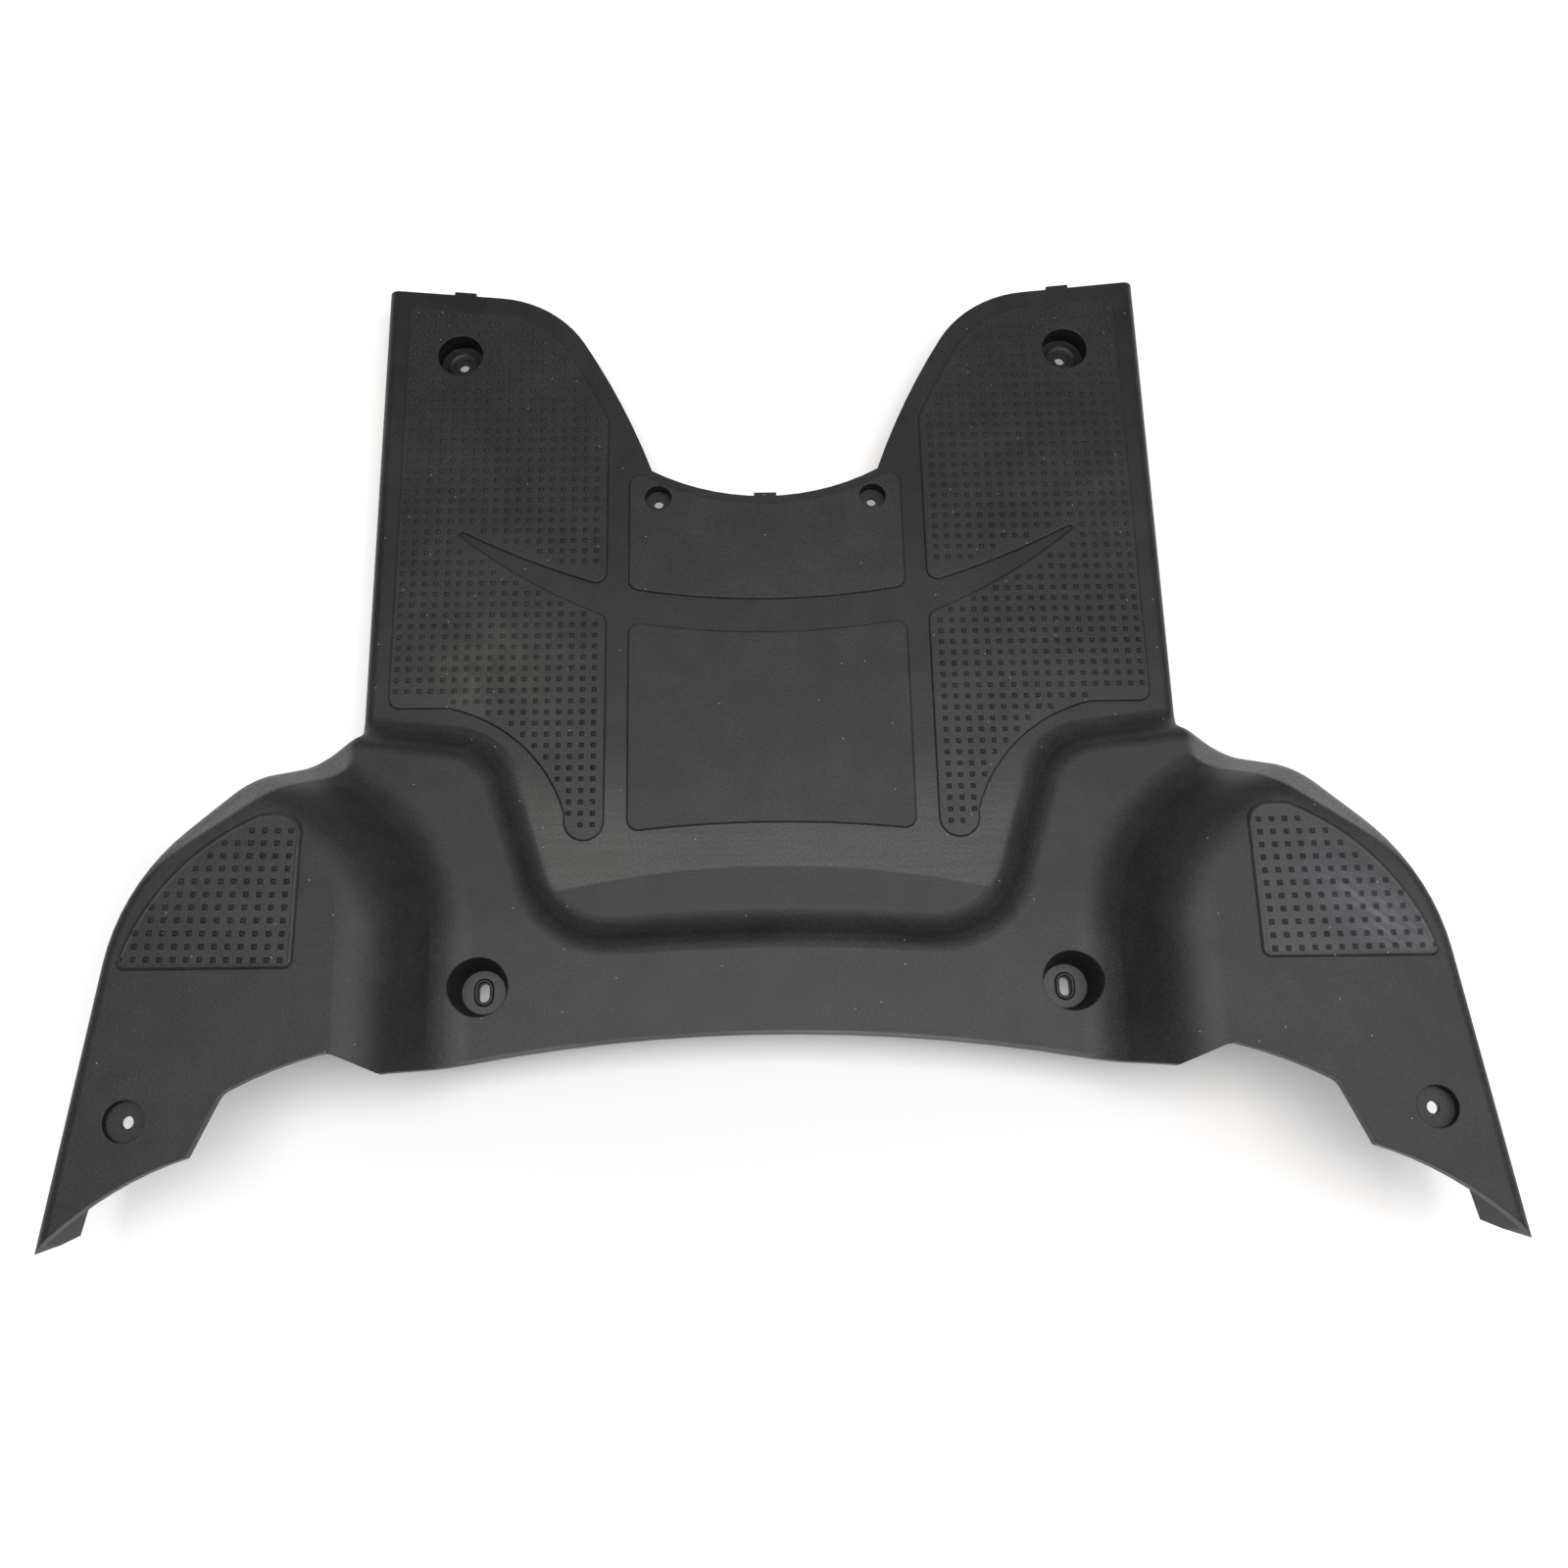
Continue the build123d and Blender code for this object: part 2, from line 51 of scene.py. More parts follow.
# %% Camera at the photograph's viewpoint
CAMERA_PLACE = (-0.01636, -0.20313, 0.60297)
CAMERA_TILT = 15.986
CAMERA_SWING = 0.137
CAMERA_ROLL = -0.811
SENSOR_MM = 36.0
LENS_MM = 33.23
OFF_CENTRE = (0.0337, 0.0112)   # the picture is cut a little off the lens's axis
NEAREST_SEEN = 0.01

camera_data = bpy.data.cameras.new("camera")
camera_data.sensor_width = SENSOR_MM
camera_data.lens = LENS_MM
camera_data.clip_start = NEAREST_SEEN
camera_data.shift_x, camera_data.shift_y = OFF_CENTRE
camera = bpy.data.objects.new("camera", camera_data)
scene.collection.objects.link(camera)
swing, tilt, roll = (Matrix.Rotation(math.radians(angle), 4, axis) for angle, axis in
                     ((CAMERA_SWING, "Z"), (CAMERA_TILT, "X"), (CAMERA_ROLL, "Z")))
camera.matrix_world = Matrix.Translation(CAMERA_PLACE) @ swing @ tilt @ roll
scene.camera = camera
print("camera", CAMERA_PLACE, "tilt", CAMERA_TILT)

# %% [markdown]
# ## Small helpers for node materials
# A material is a sum of simple masks: where a finish starts, where dust lies, how the grain runs. Writing
# each node by hand hides that sum, so a little helper turns a call such as `times(a, b)` into nodes and
# returns their output.


# %% Node helpers
class Nodes:
    """Adds nodes to one node tree; all methods but add and feed return an output socket."""

    def __init__(self, tree):
        self.tree = tree
        tree.nodes.clear()

    def add(self, kind, **settings):
        """A new node with its settings."""
        node = self.tree.nodes.new(kind)
        for name, value in settings.items():
            setattr(node, name, value)
        return node

    def feed(self, socket, value):
        """Links an output to a socket, or sets the socket to a plain number, triple or colour."""
        if isinstance(value, bpy.types.NodeSocket):
            self.tree.links.new(value, socket)
        else:
            socket.default_value = value

    def calc(self, operation, a, b=0.0, c=0.0):
        """One step of arithmetic with up to three numbers."""
        node = self.add("ShaderNodeMath", operation=operation)
        for socket, value in zip(node.inputs, (a, b, c)):
            self.feed(socket, value)
        return node.outputs[0]

    def times(self, first, *others):
        """Product of all the values."""
        product = first
        for other in others:
            product = self.calc("MULTIPLY", product, other)
        return product

    def lift(self, value, mask, amount):
        """Value + mask * amount."""
        return self.calc("MULTIPLY_ADD", mask, amount, value)

    def ramp(self, value, low, high, start=0.0, end=1.0):
        """Smooth rise from start to end while value goes from low to high."""
        node = self.add("ShaderNodeMapRange", interpolation_type="SMOOTHSTEP")
        for socket, number in zip(node.inputs, (value, low, high, start, end)):
            self.feed(socket, number)
        return node.outputs[0]

    def band(self, value, low, high, soft):
        """1 between low and high and 0 outside, with soft edges."""
        return self.times(self.ramp(value, low - soft, low + soft),
                          self.ramp(value, high - soft, high + soft, 1.0, 0.0))

    def scaled(self, place, scale, turn=(0.0, 0.0, 0.0), shift=(0.0, 0.0, 0.0)):
        """Place scaled, then turned, then shifted."""
        node = self.add("ShaderNodeMapping")
        self.feed(node.inputs["Vector"], place)
        node.inputs["Scale"].default_value = scale
        node.inputs["Rotation"].default_value = turn
        node.inputs["Location"].default_value = shift
        return node.outputs[0]

    def noise(self, place, scale, detail=3.0, rough=0.55):
        """Cloudy pattern about 0.5, with so many clouds to a metre."""
        node = self.add("ShaderNodeTexNoise")
        self.feed(node.inputs["Vector"], place)
        for name, value in (("Scale", scale), ("Detail", detail), ("Roughness", rough)):
            node.inputs[name].default_value = value
        return node.outputs[0]

    def vector(self, operation, a, b=(0.0, 0.0, 0.0)):
        """One step of arithmetic with two triples."""
        node = self.add("ShaderNodeVectorMath", operation=operation)
        self.feed(node.inputs[0], a)
        self.feed(node.inputs[1], b)
        return node.outputs["Value" if operation in ("LENGTH", "DOT_PRODUCT") else "Vector"]

    def mix(self, factor, a, b):
        """Colour a, or b where factor is 1."""
        node = self.add("ShaderNodeMix", data_type="RGBA")
        self.feed(node.inputs[0], factor)
        for socket, colour in ((node.inputs[6], a), (node.inputs[7], b)):
            self.feed(socket, colour if isinstance(colour, bpy.types.NodeSocket) else (*colour, 1.0))
        return node.outputs[2]


# %% [markdown]
# ## The plastic
# Panels like this are black polypropylene. The tool that moulds them is spark-eroded to a fine grain on
# the pads, the platform and the wings, and left smoother on the bare floor between the pads, which
# therefore shines more. A dusty film and a few white specks lie over it all, and some painted highlights,
# painted reflections and painted shade are laid into the colour too.
#
# The finish could be painted on an unwrapped panel. Here every zone is a mask worked out from the place on
# the panel, because the form already says where it lies: heights part floor, pads and platform, and a few
# arcs in plan give the edges.


# %% Place on the panel
def panel_place(n):
    """What the masks share: the point, its distances, where it faces, wide clouds and fine grain."""
    point = n.add("ShaderNodeTexCoord").outputs["Object"]
    axes = n.add("ShaderNodeSeparateXYZ")
    n.feed(axes.inputs[0], point)
    x, y, z = axes.outputs
    facing = n.add("ShaderNodeNewGeometry").outputs["Normal"]
    upward = n.vector("DOT_PRODUCT", facing, (0.0, 0.0, 1.0))
    return SimpleNamespace(point=point, x=x, y=y, z=z, side=n.calc("ABSOLUTE", x), facing=facing,
                           upward=upward, cloud=n.noise(point, 14.0, 4.0),
                           grain=n.noise(point, 900.0, 2.0, 0.6))


# %% [markdown]
# The bare floor is smooth up to a shallow arc in front of the step. Near that arc it is pale, partly worn
# by feet and partly a painted highlight.
# The pads with studs are found by their height. The centre pads have the same height and no studs, so
# they are left out by their distance from the middle.

# %% Zones of the floor
FLOOR_HEIGHTS = (0.0185, 0.0203)
FLOOR_PAD_HEIGHTS = (0.0206, 0.0215)
WING_PAD_HEIGHTS = (0.0616, 0.0625)
ZONE_SOFT = 0.0002
SMOOTH_END = -0.064
SMOOTH_BEND = -1.23
SMOOTH_SOFT = 0.0006
CENTRE_PADS_END = (0.064, 0.066)
WEAR_AND_HIGHLIGHT_FADE = (-0.052, -0.004)


def floor_zones(n, at):
    """Masks of the bare floor, of its pale part (wear and painted highlight) and of the pads with studs.

    The smooth floor ends at the arc y = SMOOTH_END + SMOOTH_BEND x squared.
    """
    arc = n.calc("MULTIPLY_ADD", n.times(at.x, at.x), SMOOTH_BEND, SMOOTH_END)
    ahead = n.ramp(n.calc("SUBTRACT", at.y, arc), -SMOOTH_SOFT, SMOOTH_SOFT)
    bare = n.times(ahead, n.band(at.z, *FLOOR_HEIGHTS, ZONE_SOFT))
    wear_and_highlight = n.times(bare, n.ramp(at.y, *WEAR_AND_HIGHLIGHT_FADE, 1.0, 0.0))
    pads = n.calc("ADD", n.band(at.z, *FLOOR_PAD_HEIGHTS, ZONE_SOFT),
                  n.band(at.z, *WING_PAD_HEIGHTS, ZONE_SOFT))
    return bare, wear_and_highlight, n.times(pads, n.ramp(at.side, *CENTRE_PADS_END))


# %% [markdown]
# Each wing's front rim is rolled over, and a pale band is painted along it as a painted reflection. The
# band is widest halfway along the rim and ends on the round shoulder. In plan the rim is a straight lead
# that runs into a circle, so one distance serves both: straight across the lead, and from the circle's
# middle past the lead's end. Inside the band the skin leans outwards a little, which a small turn of the
# shading normal shows.

# %% Rim of the wings
SHOULDER_MIDDLE = (0.17353, -0.11894, 0.0)
SHOULDER_RADIUS = 0.084
LEAD_HEADING = (0.7524, -0.6587, 0.0)
LEAD_OUTWARDS = (0.6587, 0.7524, 0.0)
WING_FRONT = (-0.012, -0.006)
WING_START = (0.172, 0.178)
BAND_ENDS = (-0.095, -0.006)
BAND_WIDEST = -0.028
BAND_WIDTHS = (0.0010, 0.0105)
BAND_NARROWS = 0.0030
BAND_SOFT = 0.0009
BAND_FADE = (-0.086, -0.058)
RIGHT_RIM = 1.2            # against 1 on the left
SKIN_LEAN = 0.18
SKIN_LEAN_REACH = (0.001, 0.011)
SKIN_LEAN_FADE = (-0.085, -0.050)
LEFT_SKIN = 0.4            # against 1 on the right
MIDDLE = (-0.05, 0.05)     # left and right go over into each other here


def wing_rim(n, at):
    """Mask of the wings, and the distance inwards from the pale band along their front rims.

    It is the shoulder's radius, less the way from the shoulder's middle, less the band's width.
    """
    spot = n.add("ShaderNodeCombineXYZ")
    n.feed(spot.inputs[0], at.side)
    n.feed(spot.inputs[1], at.y)
    from_middle = n.vector("SUBTRACT", spot.outputs[0], SHOULDER_MIDDLE)
    past_lead = n.calc("GREATER_THAN", n.vector("DOT_PRODUCT", from_middle, LEAD_HEADING), 0.0)
    way = n.add("ShaderNodeMix", data_type="FLOAT")
    n.feed(way.inputs[0], past_lead)
    n.feed(way.inputs[2], n.vector("DOT_PRODUCT", from_middle, LEAD_OUTWARDS))
    n.feed(way.inputs[3], n.vector("LENGTH", from_middle))
    inwards = n.calc("SUBTRACT", SHOULDER_RADIUS, way.outputs[0])
    width = n.calc("SUBTRACT", n.ramp(at.y, BAND_ENDS[0], BAND_WIDEST, *BAND_WIDTHS),
                   n.ramp(at.y, BAND_WIDEST, BAND_ENDS[1], 0.0, BAND_NARROWS))
    on_wing = n.times(n.ramp(at.y, *WING_FRONT, 1.0, 0.0), n.ramp(at.side, *WING_START))
    return on_wing, n.calc("SUBTRACT", inwards, width)


def painted_rim_reflection(n, at, on_wing, past_band):
    """Mask of the pale band, a painted reflection, on what faces up; it fades towards the shoulder."""
    return n.times(n.ramp(past_band, -BAND_SOFT, BAND_SOFT, 1.0, 0.0), on_wing, n.ramp(at.y, *BAND_FADE),
                   n.ramp(at.upward, 0.05, 0.25), n.ramp(at.x, *MIDDLE, 1.0, RIGHT_RIM))


def skin_lean(n, at, on_wing, past_band):
    """Small triple across the lead and outwards, to be added to the normal inside the band."""
    amount = n.times(n.ramp(past_band, *SKIN_LEAN_REACH, SKIN_LEAN, 0.0), n.ramp(at.y, *SKIN_LEAN_FADE),
                     on_wing, n.ramp(at.x, *MIDDLE, LEFT_SKIN, 1.0))
    aside = n.add("ShaderNodeCombineXYZ")
    n.feed(aside.inputs[0], n.times(n.calc("SIGN", at.x), LEAD_OUTWARDS[0]))
    n.feed(aside.inputs[1], LEAD_OUTWARDS[1])
    lean = n.add("ShaderNodeVectorMath", operation="SCALE")
    n.feed(lean.inputs[0], aside.outputs[0])
    n.feed(lean.inputs["Scale"], amount)
    return lean.outputs[0]


# %% [markdown]
# Dirt shows most on the pads with studs. The left foot rest has a brown haze round one spot, and the pale
# floor beside it takes a little of it. The right wing's pad has a painted bluish sheen with a lighter
# streak, which runs aslant to the pad's outer rear corner. White specks of dust, half a millimetre across,
# lie on what
# faces up: one in some of the cells of a pattern, so that they never form rows.

# %% Haze, painted sheen and specks
HAZE_STRETCH = (1.0, 1.3, 1.0)
HAZE_SPOT = (-0.116, 0.026, 0.02)   # measured after the stretch
HAZE_REACH = (0.008, 0.042)
HAZE_ON_FLOOR = 0.4
SHEEN_START = (0.17, 0.18)
SHEEN_STREAK_TURN = (0.0, 0.0, 0.588)
SHEEN_STREAK_SHIFT = (-0.2432, -0.0481, 0.0)
SHEEN_STREAK_STRETCH = (1.0, 2.2, 1.0)
SHEEN_STREAK_SCALE = (70.0, 400.0, 1.0)
SHEEN_STREAK_REACH = (0.006, 0.036)
SHEEN_STREAK_STRENGTH = 2.0
CELLS_PER_METRE = 95.0
SPECK_REACH = (0.012, 0.030)        # in cells
CELLS_BARE = (0.93, 0.80)           # share of cells without a speck, beside and on the pads


def haze_and_sheen(n, at, wear_and_highlight, tread):
    """Masks of the haze and of the painted sheen: clouds that fade with the distance from a stretched spot.
    """
    from_spot = n.vector("LENGTH", n.vector("SUBTRACT", n.scaled(at.point, HAZE_STRETCH), HAZE_SPOT))
    haze = n.times(n.ramp(from_spot, *HAZE_REACH, 1.0, 0.0), n.ramp(at.cloud, 0.35, 0.6), tread,
                   n.ramp(n.noise(at.point, 130.0, 2.0), 0.35, 0.65, 0.4, 1.3))
    haze = n.lift(haze, wear_and_highlight, n.ramp(at.x, -0.080, -0.035, HAZE_ON_FLOOR, 0.0))
    # Painted bluish sheen on the right wing's pad, with a lighter streak aslant.
    aslant = n.scaled(at.point, (1.0, 1.0, 0.0), SHEEN_STREAK_TURN, SHEEN_STREAK_SHIFT)
    from_bright_streak = n.vector("LENGTH", n.scaled(aslant, SHEEN_STREAK_STRETCH))
    streaks = n.noise(n.scaled(aslant, SHEEN_STREAK_SCALE), 1.0)
    bright_streak = n.times(n.ramp(from_bright_streak, *SHEEN_STREAK_REACH, 1.0, 0.0), n.ramp(streaks, 0.35, 0.7, 0.3, 1.6))
    painted_sheen = n.lift(n.ramp(at.cloud, 0.3, 0.65, 0.3, 0.9), bright_streak, SHEEN_STREAK_STRENGTH)
    return haze, n.times(tread, n.ramp(at.x, *SHEEN_START), painted_sheen)


def dust_specks(n, at, tread):
    """Mask of the specks: near the middle of a cell, in the cells whose chance number is high enough."""
    cells = n.add("ShaderNodeTexVoronoi", feature="F1", voronoi_dimensions="2D")
    n.feed(cells.inputs["Vector"], at.point)
    n.feed(cells.inputs["Scale"], CELLS_PER_METRE)
    chance = n.add("ShaderNodeSeparateColor")
    n.feed(chance.inputs[0], cells.outputs["Color"])
    chosen = n.calc("GREATER_THAN", chance.outputs[0], n.ramp(tread, 0.0, 1.0, *CELLS_BARE))
    return n.times(n.ramp(cells.outputs["Distance"], *SPECK_REACH, 1.0, 0.0), chosen,
                   n.ramp(at.upward, 0.6, 0.8))


# %% [markdown]
# The tone is a charcoal with soft clouds and blotches. Dust lifts it on the rear platform and on the step,
# painted shade darkens the pockets ahead of the platform, and painted light lifts the shade at the foot of
# the banks. The smooth floor is pale in streaks from side to side, partly worn by feet and partly a painted
# highlight. Last come the pale places: the painted reflection along the wings' rims, patches on all sharp
# edges, and a thin lip at the rear edge of the platform.

# %% Tone
CHARCOAL = (0.0110, 0.0170)
BLOTCHES = (0.78, 1.24)
PLATFORM_HEIGHTS = (0.0292, 0.0303)
PLATFORM_FRONT = (-0.096, -0.080)
POCKET_SHADE = -0.8
STEP_HEIGHTS = (0.0224, 0.0288)
DUST_AND_SHADE_LIFT = 0.0035
BANK_FOOT_SIDES = (0.124, 0.150)
BANK_FOOT_FRONT = (-0.105, -0.085)
BANK_FOOT_HEIGHTS = (0.0285, 0.0370)
BANK_FOOT_PAINTED_LIGHT = 0.009
FRONT_CUP_HEIGHTS = (0.0125, 0.0185)
FRONT_CUPS_START = (0.150, 0.160)
CUP_PAINTED_SHADE = -0.65
BARE_LIFT = -0.005
WEAR_AND_HIGHLIGHT_LIFT = (0.019, 0.036)
PALE_STREAKS = (14.0, 700.0, 60.0)
PALE_STREAK_TURN = (0.0, 0.0, 0.03)
GRAIN_RANGE = (0.25, 0.75)
GRAIN_CONTRAST = (0.6, 1.4)
RIM_REFLECTION_LIFT = (0.085, 0.115)
PAINTED_GLINT_LIFT = 0.010
EDGE_LIFT = 0.05
REAR_ARC_MIDDLE = (0.0, -0.8358, 0.0)
REAR_ARC_RADIUS = 0.702
LIP_HEIGHTS = (0.0290, 0.0303)
LIP_FADE = (0.10, 0.15)
LIP_LIFT = 0.085


def panel_tone(n, at, bare, wear_and_highlight, rim_reflection, rounded):
    """Grey of the plastic: clouds times blotches, with each mask times its lift added."""
    blotches = n.ramp(n.noise(at.point, 60.0, 3.0, 0.65), 0.32, 0.68, *BLOTCHES)
    tone = n.times(n.ramp(at.cloud, 0.3, 0.7, *CHARCOAL), blotches)

    # Dust lies on the platform and on the step. The pockets ahead, as high as the platform, get painted
    # shade.
    platform = n.band(at.z, *PLATFORM_HEIGHTS, 0.0003)
    dust_and_pocket_shade = n.times(platform, n.ramp(at.y, *PLATFORM_FRONT, 1.0, POCKET_SHADE))
    dust_and_pocket_shade = n.calc("ADD", dust_and_pocket_shade, n.band(at.z, *STEP_HEIGHTS, 0.0006))
    # Painted light lifts the shade at the foot of the banks.
    painted_bank_foot_light = n.times(n.band(at.side, *BANK_FOOT_SIDES, 0.008), n.ramp(at.y, *BANK_FOOT_FRONT, 1.0, 0.0),
                        n.band(at.z, *BANK_FOOT_HEIGHTS, 0.0010))
    tone = n.lift(n.lift(tone, dust_and_pocket_shade, DUST_AND_SHADE_LIFT), painted_bank_foot_light, BANK_FOOT_PAINTED_LIGHT)

    # The front cups are deep, and their floors get painted shade.
    painted_cup_shade = n.times(n.ramp(at.z, *FRONT_CUP_HEIGHTS, 1.0, 0.0), n.ramp(at.y, *FRONT_CUPS_START))
    tone = n.times(tone, n.lift(1.0, painted_cup_shade, CUP_PAINTED_SHADE))

    # The smooth floor is darker than the grained skin, and pale in streaks: partly wear, partly painted
    # highlight.
    streaks = n.noise(n.scaled(at.point, PALE_STREAKS, PALE_STREAK_TURN), 1.0, 5.0, 0.65)
    tone = n.lift(tone, bare, BARE_LIFT)
    tone = n.lift(tone, wear_and_highlight, n.ramp(streaks, 0.25, 0.75, *WEAR_AND_HIGHLIGHT_LIFT))

    # Fine grain runs through it all, with single painted glints.
    tone = n.times(tone, n.ramp(at.grain, *GRAIN_RANGE, *GRAIN_CONTRAST))
    # A pale band along the wings' rims is a painted reflection, broken by the grain.
    tone = n.lift(tone, rim_reflection, n.ramp(at.grain, *GRAIN_RANGE, *RIM_REFLECTION_LIFT))
    painted_glints = n.ramp(n.noise(at.point, 1500.0, 1.0, 0.5), 0.58, 0.72)
    tone = n.lift(tone, painted_glints, n.lift(PAINTED_GLINT_LIFT, painted_cup_shade, -PAINTED_GLINT_LIFT))

    # Sharp edges are paler in patches: there the rounded normal parts from the surface's own.
    patchy = n.ramp(at.cloud, 0.35, 0.65, 0.3, 1.0)
    parted = n.vector("DOT_PRODUCT", rounded, at.facing)
    tone = n.lift(tone, n.times(n.ramp(parted, 0.80, 0.98, 1.0, 0.0), patchy), EDGE_LIFT)

    # The platform's rear edge, an arc in plan, is paler along a thin lip.
    from_middle = n.vector("SUBTRACT", n.scaled(at.point, (1.0, 1.0, 0.0)), REAR_ARC_MIDDLE)
    past_arc = n.calc("SUBTRACT", n.vector("LENGTH", from_middle), REAR_ARC_RADIUS)
    pale_lip = n.times(n.ramp(past_arc, 0.0005, 0.0013, 1.0, 0.0), n.band(at.z, *LIP_HEIGHTS, 0.0003),
                      patchy, n.ramp(at.side, *LIP_FADE, 1.0, 0.0))
    return n.lift(tone, pale_lip, LIP_LIFT)


# %% [markdown]
# Now the sums are put together. The tone is tinted, haze and painted sheen are added and specks lie on top.
# The smooth zones are less rough. The grain is a fine bump over normals that are rounded at the edges,
# because a moulding has no sharp ones.

# %% Panel plastic
PLASTIC_TINT = (1.0, 1.0, 1.02)
HAZE_COLOUR = (0.023, 0.022, 0.015)
SHEEN_COLOUR = (0.020, 0.020, 0.025)
SPECK_COLOUR = (0.35, 0.35, 0.34)
REAR_CUP_HEIGHTS = (0.0140, 0.0162)
REAR_CUP_REACH = (-0.128, -0.101)
ROUGHNESS = 0.50
CLOUD_ROUGHER = 0.06
BARE_ROUGHER = -0.06
TREAD_ROUGHER = -0.08
REAR_CUP_ROUGHER = -0.09
EDGE_RADIUS = 0.0007
GRAIN_STRENGTH = 0.5
GRAIN_DEPTH = 0.00012


def panel_plastic():
    """Charcoal plastic: tint * tone + haze + painted sheen, with specks over it, and its zones of
    roughness.
    """
    material = bpy.data.materials.new("panel_plastic")
    material.use_nodes = True
    n = Nodes(material.node_tree)
    at = panel_place(n)
    bare, wear_and_highlight, tread = floor_zones(n, at)
    on_wing, past_band = wing_rim(n, at)
    edge = n.add("ShaderNodeBevel", samples=4)
    n.feed(edge.inputs["Radius"], EDGE_RADIUS)
    rounded = edge.outputs[0]

    tone = panel_tone(n, at, bare, wear_and_highlight, painted_rim_reflection(n, at, on_wing, past_band), rounded)
    haze, painted_sheen = haze_and_sheen(n, at, wear_and_highlight, tread)
    colour = n.add("ShaderNodeCombineColor")
    for socket, tint, brown, blue in zip(colour.inputs, PLASTIC_TINT, HAZE_COLOUR, SHEEN_COLOUR):
        n.feed(socket, n.lift(n.lift(n.times(tone, tint), haze, brown), painted_sheen, blue))
    shade = n.mix(dust_specks(n, at, tread), colour.outputs[0], SPECK_COLOUR)

    rear_cups = n.times(n.band(at.z, *REAR_CUP_HEIGHTS, 0.0003), n.band(at.y, *REAR_CUP_REACH, 0.0005))
    rough = ROUGHNESS
    for zone, rougher in ((bare, BARE_ROUGHER), (tread, TREAD_ROUGHER), (at.cloud, CLOUD_ROUGHER),
                          (rear_cups, REAR_CUP_ROUGHER)):
        rough = n.lift(rough, zone, rougher)

    rolled = n.vector("NORMALIZE", n.vector("ADD", rounded, skin_lean(n, at, on_wing, past_band)))
    bump = n.add("ShaderNodeBump")
    shader = n.add("ShaderNodeBsdfPrincipled")
    output = n.add("ShaderNodeOutputMaterial")
    for node, name, value in ((bump, "Strength", GRAIN_STRENGTH), (bump, "Distance", GRAIN_DEPTH),
                              (bump, "Height", at.grain), (bump, "Normal", rolled),
                              (shader, "Base Color", shade), (shader, "Roughness", rough),
                              (shader, "Normal", bump.outputs[0]), (output, "Surface", shader.outputs[0])):
        n.feed(node.inputs[name], value)
    return material


plastic = panel_plastic()
for slot in panel.material_slots:
    slot.material = plastic
print("panel finish:", len(plastic.node_tree.nodes), "nodes")

# %% [markdown]
# ## Adding a piece
# Every new piece is part of the same moulding. It therefore rides on the panel's only body, takes the same
# plastic, and keeps its place in its mesh, so that the grain runs on from the panel without a seam.


# %% Piece helper
def add_piece(name, points, faces, smooth):
    """Mesh object at the origin from a list of points in metres and faces as rows of point numbers."""
    mesh = bpy.data.meshes.new(name)
    mesh.from_pydata(points.tolist(), [], faces.tolist())
    mesh.polygons.foreach_set("use_smooth", np.full(len(faces), smooth))
    mesh.materials.append(plastic)
    mesh.update()
    piece = bpy.data.objects.new(name, mesh)
    scene.collection.objects.link(piece)
    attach(piece, "root")
    print(name, len(points), "points,", len(faces), "faces")


# %% [markdown]
# ## Shoulders of the pads
# The raised pads don't end in a sharp wall: a rounded shoulder, about a millimetre wide, runs down to the
# floor. It leans away from the lamp, which is why each pad has a dark outline. A bevel would change the
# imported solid, so the shoulders are pieces of their own. The pads' upper edges are read from the panel's
# low upright triangles, and a profile is carried along them.

# %% Edges of the pads
FLOOR_PAD_TOP = 0.0209
WING_PAD_TOP = 0.0619
FLOOR_PAD_DROP = 0.0012
WING_PAD_DROP = 0.0040
SAME_HEIGHT = 0.02 * MM
UPRIGHT = 0.1
panel.data.calc_loop_triangles()
corners = np.empty(3 * len(panel.data.vertices))
panel.data.vertices.foreach_get("co", corners)
triangles = np.empty(3 * len(panel.data.loop_triangles), dtype=int)
panel.data.loop_triangles.foreach_get("vertices", triangles)
solid = corners.reshape(-1, 3)[triangles.reshape(-1, 3)]
print("panel mesh:", len(solid), "triangles")


def pad_edges(top, drop):
    """Upper edges of the low walls under a height: end points, and each wall's normal in plan.

    A wall triangle stands upright, has two corners at the top and its third no more than drop below.
    """
    normal = np.cross(solid[:, 1] - solid[:, 0], solid[:, 2] - solid[:, 0])
    normal /= np.linalg.norm(normal, axis=1, keepdims=True)
    high = np.abs(solid[:, :, 2] - top) < SAME_HEIGHT
    wall = (np.abs(normal[:, 2]) < UPRIGHT) & (high.sum(1) == 2) & (solid[:, :, 2].min(1) > top - drop)
    rows = np.arange(wall.sum())
    low = np.argmin(high[wall], axis=1)
    first = solid[wall][rows, (low + 1) % 3]
    second = solid[wall][rows, (low + 2) % 3]
    return first, second, normal[wall][:, :2]


# %% [markdown]
# The profiles are pairs of millimetres: outwards from the pad's edge, and down from its top. The wing pads
# have a low raised border before their longer slope, so their profile starts inside the edge.

# %% Pad shoulders
FLOOR_SHOULDER = [(-0.25, -0.01), (0.0, 0.02), (0.2, 0.15), (0.45, 0.52), (0.65, 0.93)]
WING_SHOULDER = [(-1.2, 0.01), (-0.9, -0.06), (-0.4, -0.08), (0.0, 0.02), (0.4, 0.40), (0.85, 0.85),
                 (1.25, 1.25), (1.3, 1.8)]


